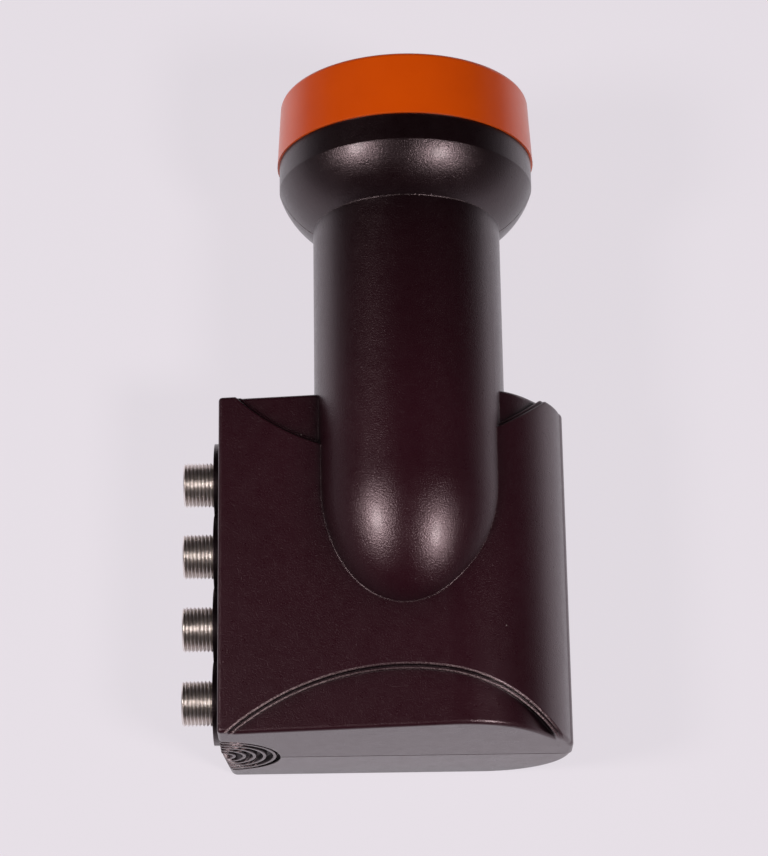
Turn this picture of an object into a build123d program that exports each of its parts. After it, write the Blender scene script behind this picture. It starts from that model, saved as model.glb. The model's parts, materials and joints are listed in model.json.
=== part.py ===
from build123d import *
import os
from math import asin, cos, degrees, radians, sqrt, tan

# Satellite LNB with four outputs, lying on its back. Lengths are millimetres and angles degrees.
# The origin is on the tube axis at the middle of the neck, +Y runs along the axis to the cap,
# +Z comes out of the front face, and the outputs point to -X.

# Neck, flare and domed end of the moulded sleeve
neck_diameter = 40.0
neck_length = 39.0
flare_diameter = 54.4
flare_length = 9.5
flare_curve = 18.0
land_length = 5.8
land_round = 0.4
spigot_step = 1.6
spigot_length = 4.5
spigot_wall = 1.9
dome_length = 29.0
dome_overlap = 21.0

# Moulded housing
wall = 2.4
housing_length = 72.6
left_reach = 39.9
nose_reach = 32.6
seam_drop = 14.0
face_rise = 22.4
nose_slope = 52.2
nose_shoulder = 6.15
nose_round = 19.0
shoulder_round = 4.0
rear_depth = 18.2
face_slope = 6.5
end_draft = 1.5
left_draft = 3.5
front_round = 0.8
rear_round = 1.5
groove_depth = 0.3
groove_width = 0.3

# Raised middle of the front face, between two arcs
panel_step = 1.2
panel_draft = 5.0
panel_round = 0.4
panel_nose_round = 23.0
foot_step = 0.35
foot_width = 0.7
foot_round = 0.3
lower_arc_radius = 54.5
lower_arc_rise = 13.1
upper_arc_radius = 46.3
upper_arc_drop = 14.0

# Ridged grip in the lower left corner
grip_radius = 12.2
grip_depth = 1.6
ridge_count = 5
ridge_first = 2.6
ridge_pitch = 2.1
ridge_width = 1.1
ridge_draft = 0.25
ridge_drop = 0.3

# Cap
cap_wall = 1.85
cap_height = 14.4
cap_angle = 3.5
cap_top = 1.8
cap_crown = 0.6
cap_round = 1.2
cap_clearance = 0.2
cap_shoulder = 1.0

# Outputs
port_count = 4
first_port = 13.0
last_port = 11.6
port_thread_diameter = 9.525
port_reach = 8.2
port_relief = 0.26
port_flange_diameter = 12.4
port_flange = 1.3
port_tail_diameter = 8.8
port_bore_diameter = 6.6
insulator_setback = 0.7
contact_diameter = 2.2
contact_bore_diameter = 1.0
contact_bore_depth = 8.0
contact_setback = 0.6
tail_pin_diameter = 1.2
tail_pin_length = 3.6
rim_diameter = 17.6
rim_height = 1.6
rim_lip = 1.0
rim_clearance = 0.25
seal_diameter = 13.6
seal_thickness = 1.8

# Casting with horn, waveguide and tray
casting_gap = 0.9
guide_diameter = 28.0
guide_bore_diameter = 19.0
guide_end_gap = 0.55
guide_end_wall = 3.0
horn_start = 4.5
horn_length = 19.0
horn_clearance = 0.3
horn_rim = 3.9
horn_step_count = 4
tray_nose_gap = 10.2
tray_wall = 3.0
tray_roof = 2.5
tray_roof_rise = 9.0
tray_depth = 17.5
tray_corner = 3.0
tray_inner_corner = 0.5
cradle_radial_gap = 0.2
cradle_width = 2.0
cradle_offset = 8.0

# Cap seal in the mouth of the horn
cap_seal_inset = 1.7
cap_seal_width = 1.4
cap_seal_groove = 0.8
mouth_gap = 1.8

# Cover, gasket and screws
cover_thickness = 2.0
gasket_width = 1.2
gasket_depth = 0.9
gasket_inset = 1.5
boss_diameter = 5.6
boss_inset = 3.6
cover_screw_diameter = 2.5
cover_screw_grip = 3.8
cover_head_diameter = 5.2
cover_head_height = 1.9
cover_hole_clearance = 0.35

# Circuit board
board_thickness = 1.0
board_gap = 0.4
board_clearance = 0.8
post_diameter = 5.2
post_inset_left = 13.0
post_inset_right = 9.1
post_inset_y = 8.5
board_screw_diameter = 2.2
board_screw_grip = 5.5
board_head_diameter = 4.4
board_head_height = 1.6
board_hole_clearance = 0.2

# Probes in the waveguide
probe_diameter = 1.2
probe_depth = 5.5
bush_diameter = 3.6
vertical_probe_drop = 19.5
horizontal_probe_drop = 8.5
horizontal_bush_length = 6.0
isolation_pin_drop = 14.0
isolation_pin_diameter = 2.0
isolation_pin_end_gap = 0.5

# Oscillators and parts on the board
resonator_diameter = 6.0
resonator_height = 2.4
resonator_pitch = 15.0
resonator_inset = 9.4
tuning_screw_diameter = 4.0
tuning_gap = 1.2
tuning_proud = 1.0
tuning_boss_diameter = 7.0
tuning_boss_height = 1.5
switch_chip_side = 9.0
switch_chip_height = 1.0
switch_chip_inset = 17.6
mixer_chip_side = 5.0
mixer_chip_height = 0.9
mixer_chip_gap = 11.0
regulator_length = 6.5
regulator_width = 6.0
regulator_height = 2.3
regulator_pitch = 12.0
regulator_rise = 15.4
regulator_gap = 9.0
transistor_length = 2.0
transistor_width = 1.3
transistor_height = 0.9
transistor_pitch = 5.0
capacitor_length = 2.0
capacitor_width = 1.25
capacitor_height = 1.2
capacitor_inset = 9.1
capacitor_offset = 4.0

# Supports inside the shells
rib_width = 1.6
rib_end_gap = 6.0
left_rib_inset = 10.6
right_rib_inset = 3.4
support_diameter = 6.0
support_inset_x = 16.0
support_inset_y = 17.0
tab_width = 8.0
tab_pitch = 18.0
tab_thickness = 1.0
tab_reach = 2.0
tab_clearance = 0.15
weld = 0.3

# Places that follow from the sizes above
far = 300.0
tolerance = 0.01
neck_radius = neck_diameter / 2
neck_end_y = neck_length / 2
housing_top_y = -neck_length / 2
housing_bottom_y = housing_top_y - housing_length
seam_z = -seam_drop
rear_z = seam_z - rear_depth
land_y = neck_end_y + flare_length
rim_y = land_y + land_length
spigot_end_y = rim_y + spigot_length
flare_radius = flare_diameter / 2
spigot_radius = flare_radius - spigot_step
spigot_bore = spigot_radius - spigot_wall
dome_start_y = housing_top_y - dome_overlap
housing_mid_x = (nose_reach - left_reach) / 2
left_wall_x = -left_reach + wall
rim_face_x = -left_reach - rim_height
port_mouth_x = -left_reach - port_reach
port_radius = port_thread_diameter / 2
port_shank = port_radius - port_relief
port_pitch = (housing_length - first_port - last_port) / (port_count - 1)
tray_left_x = left_wall_x + casting_gap
tray_right_x = nose_reach - tray_nose_gap
tray_top_y = housing_top_y - wall - casting_gap
tray_bottom_y = housing_bottom_y + wall + tab_thickness + 2 * tab_clearance
tray_roof_z = seam_z + tray_roof_rise
tray_inside_z = tray_roof_z - tray_roof
tray_rim_z = tray_roof_z - tray_depth
tray_mid_x = (tray_left_x + tray_right_x) / 2
tray_mid_y = (tray_top_y + tray_bottom_y) / 2
cover_back_z = tray_rim_z - cover_thickness
guide_radius = guide_diameter / 2
guide_bore = guide_bore_diameter / 2
guide_end_share = (guide_radius + guide_end_gap) / (neck_radius - wall)
guide_end_y = dome_start_y - (dome_length - wall) * sqrt(1 - guide_end_share**2)
horn_start_y = neck_end_y - horn_start
horn_radius = spigot_bore - horn_clearance
horn_mouth = horn_radius - horn_rim
cap_seal_inner = horn_radius - cap_seal_inset - cap_seal_width / 2
cap_seal_outer = cap_seal_inner + cap_seal_width
cap_face_y = rim_y + cap_height
cap_inside_y = cap_face_y - cap_top
mouth_y = cap_inside_y - mouth_gap
horn_step_length = (mouth_y - horn_start_y) / horn_step_count
horn_step_rise = (horn_mouth - guide_bore) / horn_step_count
board_top_z = seam_z - tail_pin_diameter / 2
board_back_z = board_top_z - board_thickness
probe_radius = probe_diameter / 2
vertical_probe_y = housing_top_y - vertical_probe_drop
horizontal_probe_y = housing_top_y - horizontal_probe_drop
horizontal_leg_x = (guide_bore + guide_radius) / 2
isolation_pin_y = housing_top_y - isolation_pin_drop
regulator_y = tray_bottom_y + regulator_rise
resonator_y = regulator_y + regulator_gap
mixer_chip_y = resonator_y + mixer_chip_gap
resonator_x = tray_right_x - resonator_inset - resonator_pitch


def port_ys():
    """Y of each output's axis, from the neck end down."""
    return [housing_top_y - first_port - port_pitch * i for i in range(port_count)]


def rod_x(radius, x0, x1, y, z):
    """Round bar along X."""
    return Pos((x0 + x1) / 2, y, z) * Rot(0, 90, 0) * Cylinder(radius, abs(x1 - x0))


def rod_z(radius, z0, z1, x, y):
    """Round bar along Z."""
    return Pos(x, y, (z0 + z1) / 2) * Cylinder(radius, abs(z1 - z0))


def block(x0, x1, y0, y1, z0, z1):
    """Box between two corners."""
    middle = Pos((x0 + x1) / 2, (y0 + y1) / 2, (z0 + z1) / 2)
    return middle * Box(abs(x1 - x0), abs(y1 - y0), abs(z1 - z0))


def turned_face(profile):
    """Face turned about the tube axis, with its seam line at the back."""
    return Rot(0, 90, 0) * revolve(profile, Axis.Y)


def turned(points):
    """Solid turned about the tube axis from (radius, y) points."""
    return turned_face(make_face(Polyline(*points, close=True)))


def rod_y(radius, y0, y1):
    """Round bar on the tube axis."""
    return turned([(0, y0), (radius, y0), (radius, y1), (0, y1)])


def turned_x(points, y, z):
    """Solid turned about a line along X from (x, radius) points."""
    return Pos(0, y, z) * revolve(make_face(Polyline(*points, close=True)), Axis.X)


# Moulded sleeve: dome, neck and flare

def dome(inset):
    """Bullet-shaped end of the tube: half an ellipse turned about the axis."""
    curve = EllipticalCenterArc(
        (0, dome_start_y), neck_radius - inset, dome_length - inset, start_angle=270, arc_size=90
    )
    rest = Polyline(curve @ 1, (0, dome_start_y), curve @ 0)
    return turned_face(make_face([curve, rest]))


def neck_and_flare(inset):
    """Outer form of the tube, the bulging flare, its land and the spigot under the cap."""
    neck = neck_radius - inset
    land = flare_radius - inset
    bulge = RadiusArc((neck, neck_end_y), (land, land_y), -flare_curve)
    rest = Polyline(
        bulge @ 1,
        (land, rim_y),
        (spigot_radius, rim_y),
        (spigot_radius, spigot_end_y),
        (0, spigot_end_y),
        (0, dome_start_y),
        (neck, dome_start_y),
        bulge @ 0,
    )
    profile = make_face([bulge, rest])
    shoulder = profile.vertices().sort_by_distance((land, land_y))[0]
    return turned_face(fillet(shoulder, land_round))


def neck_bore():
    """Hollow inside the tube and the flare, open at the mouth."""
    bore = neck_radius - wall
    return turned([(0, dome_start_y), (bore, dome_start_y), (bore, neck_end_y),
                   (spigot_bore, land_y), (spigot_bore, far), (0, far)])


def front_region():
    """Space of the front shell: the parting steps from the tube axis down to the housing's seam."""
    neck_part = block(-far, far, housing_top_y, far, 0, far)
    return neck_part + block(-far, far, -far, housing_top_y, seam_z, far)


def rear_region():
    """Space of the rear shell, below the stepped parting."""
    neck_part = block(-far, far, housing_top_y, far, -far, 0)
    return neck_part + block(-far, far, -far, housing_top_y, -far, seam_z)


# Moulded housing

def front_section(inset):
    """Front half of the housing's section at its low ends: sloping face, falling nose and its shoulder."""
    left = -left_reach + inset
    right = nose_reach - inset
    rise = tan(radians(face_slope))
    fall = tan(radians(nose_slope))
    face_z = seam_z + face_rise - inset / cos(radians(face_slope))
    nose_z = seam_z + nose_shoulder - inset / cos(radians(nose_slope))
    brow_x = (nose_z + fall * nose_reach - face_z) / (rise + fall)
    brow = (brow_x, face_z + rise * brow_x)
    shoulder = (right, nose_z + fall * inset)
    outline = make_face(Polyline((left, seam_z), (left, face_z + rise * left), brow, shoulder,
                                 (right, seam_z), close=True))
    outline = fillet(outline.vertices().sort_by_distance(brow)[0], nose_round - inset)
    return fillet(outline.vertices().sort_by_distance(shoulder)[0], shoulder_round - inset)


def panel_section(step):
    """Section of the raised middle of the front face, with a full round nose."""
    rise = tan(radians(face_slope))
    face_z = seam_z + face_rise + step / cos(radians(face_slope))
    nose = (nose_reach, face_z + rise * nose_reach)
    outline = make_face(Polyline((-left_reach, seam_z), (-left_reach, face_z - rise * left_reach), nose,
                                 (nose_reach, seam_z), close=True))
    return fillet(outline.vertices().sort_by_distance(nose)[0], panel_nose_round)


def rear_section(inset):
    """Rear half of the housing's section: drafted left wall, flat back and round nose."""
    radius = rear_depth - inset
    centre_x = nose_reach - rear_depth
    left = -left_reach + inset
    foot = left + radius * tan(radians(left_draft))
    nose = CenterArc((centre_x, seam_z), radius, 0, -90)
    rest = Polyline(nose @ 1, (foot, seam_z - radius), (left, seam_z), nose @ 0)
    return make_face([nose, rest])


def housing_half(section, depth, inset):
    """Half housing: its section run along Y, with the lower end wall leaning in from the seam."""
    top = housing_top_y - inset
    bottom = housing_bottom_y + inset
    lean = abs(depth) * tan(radians(end_draft))
    side = Polyline(
        (top, seam_z), (top, seam_z + depth), (bottom + lean, seam_z + depth), (bottom, seam_z), close=True
    )
    run = extrude(Plane.XZ * section, amount=far, both=True)
    return run & extrude(Plane.YZ * make_face(side), amount=far, both=True)


def rounded_half(half, radius):
    """Rounds the edges of both end walls and of the left wall, clear of the seam."""
    faces = half.faces()
    ends = [faces.sort_by(Axis.Y)[0], faces.sort_by(Axis.Y)[-1], faces.sort_by(Axis.X)[0]]
    edges = ShapeList()
    for face in ends:
        for edge in face.edges():
            on_seam = abs(edge.center().Z - seam_z) < tolerance
            if not on_seam and edge not in edges:
                edges.append(edge)
    return fillet(edges, radius)


def end_cone(radius, centre_y):
    """Upright cone whose wall is one of the two arcs that bound the raised panel."""
    spread = face_rise * tan(radians(panel_draft))
    return Pos(housing_mid_x, centre_y, seam_z + face_rise) * Cone(radius - spread, radius + spread, 2 * face_rise)


def panel_layer(step, widening, rounding):
    """Middle of the front face, raised by a step between the two arcs, with the step's edge rounded."""
    layer = rounded_half(housing_half(panel_section(step), far, 0), front_round)
    lower_y = housing_bottom_y + lower_arc_rise - lower_arc_radius
    upper_y = housing_top_y - upper_arc_drop + upper_arc_radius
    layer -= end_cone(lower_arc_radius - widening, lower_y)
    layer -= end_cone(upper_arc_radius - widening, upper_y)
    walls = layer.faces().filter_by(GeomType.CONE)
    return fillet([wall_face.edges().sort_by(Axis.Z)[-1] for wall_face in walls], rounding)


def front_half():
    """Front half of the housing: low ends, a narrow foot and the raised panel."""
    half = rounded_half(housing_half(front_section(0), far, 0), front_round)
    half += panel_layer(foot_step, foot_width, foot_round)
    return half + panel_layer(panel_step, 0, panel_round)


def grip():
    """Cutter for the round grip: a shallow recess about the left edge, with ridges left standing."""
    floor_y = housing_bottom_y + grip_depth
    recess = turned([(0, housing_bottom_y - far), (grip_radius, housing_bottom_y - far),
                     (grip_radius, floor_y), (0, floor_y)])
    for i in range(ridge_count):
        radius = ridge_first + ridge_pitch * i
        foot = ridge_width / 2
        crest = foot - ridge_draft
        crest_y = housing_bottom_y + ridge_drop
        recess -= turned([(radius - foot, floor_y), (radius - crest, crest_y),
                          (radius + crest, crest_y), (radius + foot, floor_y)])
    return Pos(-left_reach, 0, seam_z) * recess


def port_rims():
    """Raised round rims around the outputs on the left wall, overlapping into one strip."""
    rims = [rod_x(rim_diameter / 2, rim_face_x, left_wall_x, y, seam_z) for y in port_ys()]
    return Part() + rims


def port_holes():
    """Holes for the barrels, with a pocket behind the lip for each seal."""
    cuts = []
    for y in port_ys():
        cuts.append(rod_x(port_radius + rim_clearance, -far, 0, y, seam_z))
        cuts.append(rod_x(seal_diameter / 2, rim_face_x + rim_lip, left_wall_x + casting_gap, y, seam_z))
    return Part() + cuts


def cradles():
    """Rings inside the neck that hold the waveguide tube."""
    bore = guide_radius + cradle_radial_gap
    seat = neck_radius - wall + weld
    rings = []
    for y in (-cradle_offset, cradle_offset):
        low = y - cradle_width / 2
        high = y + cradle_width / 2
        rings.append(turned([(bore, low), (seat, low), (seat, high), (bore, high)]))
    return Part() + rings


def press_ribs(cavity):
    """Ribs under the front face that reach down to the roof of the tray."""
    ribs = []
    for x in (tray_left_x + left_rib_inset, tray_right_x - right_rib_inset):
        plate = block(x - rib_width / 2, x + rib_width / 2, tray_bottom_y + rib_end_gap,
                      tray_top_y - rib_end_gap, tray_roof_z, far)
        ribs.append(plate & cavity)
    return Part() + ribs


def seam_tabs():
    """Tabs on the front shell that locate the rear shell at the lower end wall."""
    inside_y = housing_bottom_y + wall
    tabs = []
    for i in (-1, 0, 1):
        x = housing_mid_x + i * tab_pitch
        face_y = inside_y + tab_clearance
        back_y = face_y + tab_thickness
        tabs.append(block(x - tab_width / 2, x + tab_width / 2, face_y, back_y, seam_z - tab_reach, seam_z))
        tabs.append(block(x - tab_width / 2, x + tab_width / 2, inside_y - weld, back_y,
                          seam_z, seam_z + tab_reach))
    return Part() + tabs


def seam_groove():
    """Fine groove where the two halves meet, round the left wall, the lower end and the nose."""
    low = seam_z - groove_width / 2
    high = seam_z + groove_width / 2
    inside = block(-left_reach + groove_depth, nose_reach - groove_depth,
                   housing_bottom_y + groove_depth, far, low, high)
    return block(-far, far, -far, housing_top_y, low, high) - inside


def neck_groove():
    """Fine groove where the two halves meet along the neck and the flare."""
    slab = block(-far, far, housing_top_y, rim_y, -groove_width / 2, groove_width / 2)
    return slab - neck_and_flare(groove_depth)


def supports():
    """Posts on the back that carry the cover of the tray."""
    posts = []
    for x in (tray_left_x + support_inset_x, tray_right_x - support_inset_x):
        for y in (tray_bottom_y + support_inset_y, tray_top_y - support_inset_y):
            posts.append(rod_z(support_diameter / 2, rear_z + wall - weld, cover_back_z, x, y))
    return Part() + posts


def front_shell():
    """Front half of the moulded cover."""
    region = front_region()
    shell = front_half()
    shell += neck_and_flare(0) & region
    shell += dome(0) & region
    shell += port_rims() & region
    shell -= housing_half(front_section(wall), far, wall)
    shell -= neck_bore() & region
    shell -= dome(wall) & region
    shell -= port_holes()
    shell -= grip()
    shell -= seam_groove()
    shell -= neck_groove()
    shell += cradles() & region
    shell += press_ribs(housing_half(front_section(wall - weld), far, wall - weld))
    return shell + seam_tabs()


def rear_shell():
    """Rear half of the moulded cover."""
    region = rear_region()
    shell = rounded_half(housing_half(rear_section(0), -rear_depth, 0), rear_round)
    shell += neck_and_flare(0) & region
    shell += port_rims() & region
    shell -= housing_half(rear_section(wall), -rear_depth, wall)
    shell -= neck_bore() & region
    shell -= port_holes()
    shell -= grip()
    shell -= seam_groove()
    shell -= neck_groove()
    shell += cradles() & region
    return shell + supports()


# Cap and its seal

def feed_cap():
    """Cup-shaped cap with a drafted skirt over the spigot and a slightly crowned face."""
    skirt_bore = spigot_radius + cap_clearance
    skirt = skirt_bore + cap_wall
    top = skirt - (cap_height - cap_round) * tan(radians(cap_angle))
    upper_bore = skirt_bore - cap_shoulder
    shoulder_y = spigot_end_y + cap_clearance
    crown_radius = (top**2 + cap_crown**2) / (2 * cap_crown)
    half_angle = degrees(asin(top / crown_radius))
    crown_centre = (0, cap_face_y + cap_crown - crown_radius)
    crown = CenterArc(crown_centre, crown_radius, 90 - half_angle, half_angle)
    rest = Polyline(
        crown @ 1, (0, cap_inside_y), (upper_bore, cap_inside_y), (upper_bore, shoulder_y),
        (skirt_bore, shoulder_y), (skirt_bore, rim_y), (skirt, rim_y), crown @ 0
    )
    profile = make_face([crown, rest])
    corner = profile.vertices().sort_by_distance((top, cap_face_y))[0]
    return turned_face(fillet(corner, cap_round))


def cap_seal():
    """Square ring in the mouth of the horn that presses on the inside of the cap."""
    low = mouth_y - cap_seal_groove
    return turned([(cap_seal_inner, low), (cap_seal_outer, low),
                   (cap_seal_outer, cap_inside_y), (cap_seal_inner, cap_inside_y)])


# Casting with horn, waveguide and tray

def horn_and_guide():
    """Turned outside of horn and waveguide, closed at the lower end, with a flat over the board."""
    horn_end_y = horn_start_y + horn_length
    body = turned([(0, guide_end_y), (guide_radius, guide_end_y), (guide_radius, horn_start_y),
                   (horn_radius, horn_end_y), (horn_radius, mouth_y), (0, mouth_y)])
    return body - block(-far, far, guide_end_y, tray_top_y, -far, board_top_z + board_clearance)


def horn_bore():
    """Waveguide bore and stepped horn, with the groove for the cap seal."""
    bore = rod_y(guide_bore, guide_end_y + guide_end_wall, far)
    for i in range(horn_step_count):
        radius = guide_bore + horn_step_rise * (i + 1)
        bore += rod_y(radius, horn_start_y + horn_step_length * i, far)
    low = mouth_y - cap_seal_groove
    return bore + turned([(cap_seal_inner, low), (cap_seal_outer, low),
                          (cap_seal_outer, far), (cap_seal_inner, far)])


def tray_outline(inset):
    """Outline of the tray with rounded corners, drawn at the height of the origin."""
    corner = max(tray_corner - inset, tray_inner_corner)
    width = tray_right_x - tray_left_x - 2 * inset
    outline = RectangleRounded(width, tray_top_y - tray_bottom_y - 2 * inset, corner)
    return Pos(tray_mid_x, tray_mid_y, 0) * outline


def prism(outline, z0, z1):
    """Outline raised from z0 to z1."""
    return extrude(Pos(0, 0, z0) * outline, amount=z1 - z0)


def cover_screw_places():
    """Places of the cover's screws: the tray's corners and the free middles of its sides."""
    left = tray_left_x + boss_inset
    right = tray_right_x - boss_inset
    bottom = tray_bottom_y + boss_inset
    top = tray_top_y - boss_inset
    ports = port_ys()
    left_middle = (ports[port_count // 2 - 1] + ports[port_count // 2]) / 2
    corners = [(left, bottom), (right, bottom), (left, top), (right, top)]
    return corners + [(left, left_middle), (right, left_middle), (tray_mid_x, bottom)]


def board_screw_places():
    """Places of the posts that the board is screwed to."""
    xs = (tray_left_x + post_inset_left, tray_right_x - post_inset_right)
    ys = (tray_bottom_y + post_inset_y, tray_top_y - post_inset_y)
    return [(x, y) for x in xs for y in ys]


def gasket_frame(z0, z1):
    """Frame that follows the rim of the tray."""
    outer = prism(tray_outline(gasket_inset - gasket_width / 2), z0, z1)
    return outer - prism(tray_outline(gasket_inset + gasket_width / 2), z0, z1)


def probe_cuts():
    """Bores for the probes' bushes and for the isolation pin."""
    bush = bush_diameter / 2
    vertical = rod_z(bush, tray_rim_z, -guide_bore + bush, 0, vertical_probe_y)
    upright = rod_z(bush, tray_rim_z, bush, horizontal_leg_x, horizontal_probe_y)
    across = rod_x(bush, 0, horizontal_leg_x, horizontal_probe_y, 0)
    pin = rod_x(isolation_pin_diameter / 2, -guide_radius, guide_radius, isolation_pin_y, 0)
    return Part() + [vertical, upright, across, pin]


def horn_casting():
    """Die casting of horn, waveguide and tray, with bosses, posts and sockets for the outputs."""
    tray = prism(tray_outline(0), tray_rim_z, tray_roof_z)
    tray -= prism(tray_outline(tray_wall), tray_rim_z, tray_inside_z)
    casting = tray + horn_and_guide()
    casting += [rod_z(boss_diameter / 2, tray_rim_z, tray_inside_z + weld, x, y)
                for x, y in cover_screw_places()]
    casting += [rod_z(post_diameter / 2, board_top_z, tray_inside_z + weld, x, y)
                for x, y in board_screw_places()]
    casting -= horn_bore()
    casting -= [rod_z(cover_screw_diameter / 2, tray_rim_z, tray_rim_z + cover_screw_grip, x, y)
                for x, y in cover_screw_places()]
    casting -= [rod_z(board_screw_diameter / 2, board_top_z, board_top_z + board_screw_grip, x, y)
                for x, y in board_screw_places()]
    casting -= gasket_frame(tray_rim_z, tray_rim_z + gasket_depth)
    casting -= probe_cuts()
    for y in port_ys():
        casting -= rod_x(port_flange_diameter / 2, tray_left_x, tray_left_x + port_flange, y, seam_z)
        casting -= rod_x(port_tail_diameter / 2, tray_left_x, tray_left_x + tray_wall, y, seam_z)
    return casting


# Cover of the tray

def casting_cover():
    """Lid of the tray, with holes for its screws and threaded bosses for the tuning screws."""
    cover = prism(tray_outline(0), cover_back_z, tray_rim_z)
    hole = cover_screw_diameter / 2 + cover_hole_clearance
    for x, y in resonator_places():
        cover += rod_z(tuning_boss_diameter / 2, cover_back_z, tray_rim_z + tuning_boss_height, x, y)
        cover -= rod_z(tuning_screw_diameter / 2, cover_back_z, tray_rim_z + tuning_boss_height, x, y)
    for x, y in cover_screw_places():
        cover -= rod_z(hole, cover_back_z, tray_rim_z, x, y)
    return cover


def screws(places, seat_z, shank_radius, shank_length, head_radius, head_height):
    """Like screws with their heads under seat_z, as separate solids of one group."""
    made = []
    for x, y in places:
        head = rod_z(head_radius, seat_z - head_height, seat_z, x, y)
        made.append((head + rod_z(shank_radius, seat_z, seat_z + shank_length, x, y)).solid())
    return Compound(made)


def cover_screws():
    """Screws that hold the cover."""
    return screws(cover_screw_places(), cover_back_z, cover_screw_diameter / 2,
                  cover_thickness + cover_screw_grip, cover_head_diameter / 2, cover_head_height)


def board_screws():
    """Screws that hold the board to its posts."""
    return screws(board_screw_places(), board_back_z, board_screw_diameter / 2,
                  board_thickness + board_screw_grip, board_head_diameter / 2, board_head_height)


# Board, probes and parts on the board

def main_board():
    """Circuit board, cut round the bosses and drilled for its screws."""
    board = prism(tray_outline(tray_wall + board_gap), board_back_z, board_top_z)
    for x, y in cover_screw_places():
        board -= rod_z(boss_diameter / 2 + board_gap, board_back_z, board_top_z, x, y)
    for x, y in board_screw_places():
        board -= rod_z(board_screw_diameter / 2 + board_hole_clearance, board_back_z, board_top_z, x, y)
    return board


def probe_vertical():
    """Straight pin from the board up into the waveguide."""
    return rod_z(probe_radius, board_top_z, -guide_bore + probe_depth, 0, vertical_probe_y)


def probe_horizontal():
    """Bent pin that rises beside the bore and enters it across the first pin."""
    upright = rod_z(probe_radius, board_top_z, 0, horizontal_leg_x, horizontal_probe_y)
    across = rod_x(probe_radius, guide_bore - probe_depth, horizontal_leg_x, horizontal_probe_y, 0)
    return upright + across + Pos(horizontal_leg_x, horizontal_probe_y, 0) * Sphere(probe_radius)


def probe_vertical_bush():
    """Insulating bush round the straight pin, in the wall of the waveguide."""
    low = board_top_z + board_clearance
    bush = rod_z(bush_diameter / 2, low, -guide_bore, 0, vertical_probe_y)
    return bush - rod_z(probe_radius, low, -guide_bore, 0, vertical_probe_y)


def probe_horizontal_bush():
    """Insulating bush round the upright leg of the bent pin."""
    high = -bush_diameter / 2
    low = high - horizontal_bush_length
    bush = rod_z(bush_diameter / 2, low, high, horizontal_leg_x, horizontal_probe_y)
    return bush - rod_z(probe_radius, low, high, horizontal_leg_x, horizontal_probe_y)


def isolation_pin():
    """Rod across the waveguide between the two probes."""
    reach = guide_radius - isolation_pin_end_gap
    return rod_x(isolation_pin_diameter / 2, -reach, reach, isolation_pin_y, 0)


def resonator_places():
    """Places of the two resonators."""
    return [(resonator_x, resonator_y), (resonator_x + resonator_pitch, resonator_y)]


def resonator(place):
    """Ceramic puck on the back of the board."""
    return rod_z(resonator_diameter / 2, board_back_z - resonator_height, board_back_z, *place)


def tuning_screws():
    """Trimming screws in the cover, each with its end close to a resonator."""
    tip_z = board_back_z - resonator_height - tuning_gap
    made = [rod_z(tuning_screw_diameter / 2, cover_back_z - tuning_proud, tip_z, x, y).solid()
            for x, y in resonator_places()]
    return Compound(made)


def board_parts(places, length, width, height):
    """Like parts on the back of the board, as separate solids of one group."""
    made = [block(x - length / 2, x + length / 2, y - width / 2, y + width / 2,
                  board_back_z - height, board_back_z).solid() for x, y in places]
    return Compound(made)


def switch_chip():
    """Chip that switches the outputs between the bands."""
    place = (tray_left_x + switch_chip_inset, resonator_y)
    return board_parts([place], switch_chip_side, switch_chip_side, switch_chip_height)


def mixer_chips():
    """One mixer beside each resonator."""
    places = [(x, mixer_chip_y) for x, y in resonator_places()]
    return board_parts(places, mixer_chip_side, mixer_chip_side, mixer_chip_height)


def voltage_regulators():
    """Two regulators at the lower end of the board."""
    places = [(resonator_x + regulator_pitch * i, regulator_y) for i in (0, 1)]
    return board_parts(places, regulator_length, regulator_width, regulator_height)


def amplifier_transistors():
    """Three low-noise transistors in a row beside each probe."""
    rows = ((0, vertical_probe_y), (horizontal_leg_x, horizontal_probe_y))
    places = [(x - transistor_pitch * i, y) for x, y in rows for i in (1, 2, 3)]
    return board_parts(places, transistor_length, transistor_width, transistor_height)


def chip_capacitors():
    """One capacitor beside each output's solder pad."""
    places = [(tray_left_x + capacitor_inset, y + capacitor_offset) for y in port_ys()]
    return board_parts(places, capacitor_length, capacitor_width, capacitor_height)


# Outputs

def port_body(y):
    """Plated barrel: threaded end, plain shank, flange let into the casting and tail in its wall."""
    bore = port_bore_diameter / 2
    flange_end = tray_left_x + port_flange
    tail_end = tray_left_x + tray_wall
    return turned_x([(port_mouth_x, bore), (port_mouth_x, port_radius), (rim_face_x, port_radius),
                     (rim_face_x, port_shank), (tray_left_x, port_shank),
                     (tray_left_x, port_flange_diameter / 2), (flange_end, port_flange_diameter / 2),
                     (flange_end, port_tail_diameter / 2), (tail_end, port_tail_diameter / 2),
                     (tail_end, bore)], y, seam_z)


def port_insulator(y):
    """Plug in the barrel that carries the contact."""
    front = port_mouth_x + insulator_setback
    seat = front + contact_setback
    back = tray_left_x + tray_wall
    return turned_x([(front, contact_bore_diameter / 2), (front, port_bore_diameter / 2),
                     (back, port_bore_diameter / 2), (back, contact_diameter / 2),
                     (seat, contact_diameter / 2), (seat, contact_bore_diameter / 2)], y, seam_z)


def port_contact(y):
    """Socket for the plug's wire, with a tail pin that lies on the board."""
    front = port_mouth_x + insulator_setback + contact_setback
    back = tray_left_x + tray_wall
    bore_end = front + contact_bore_depth
    return turned_x([(front, contact_bore_diameter / 2), (front, contact_diameter / 2),
                     (back, contact_diameter / 2), (back, tail_pin_diameter / 2),
                     (back + tail_pin_length, tail_pin_diameter / 2), (back + tail_pin_length, 0),
                     (bore_end, 0), (bore_end, contact_bore_diameter / 2)], y, seam_z)


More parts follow.
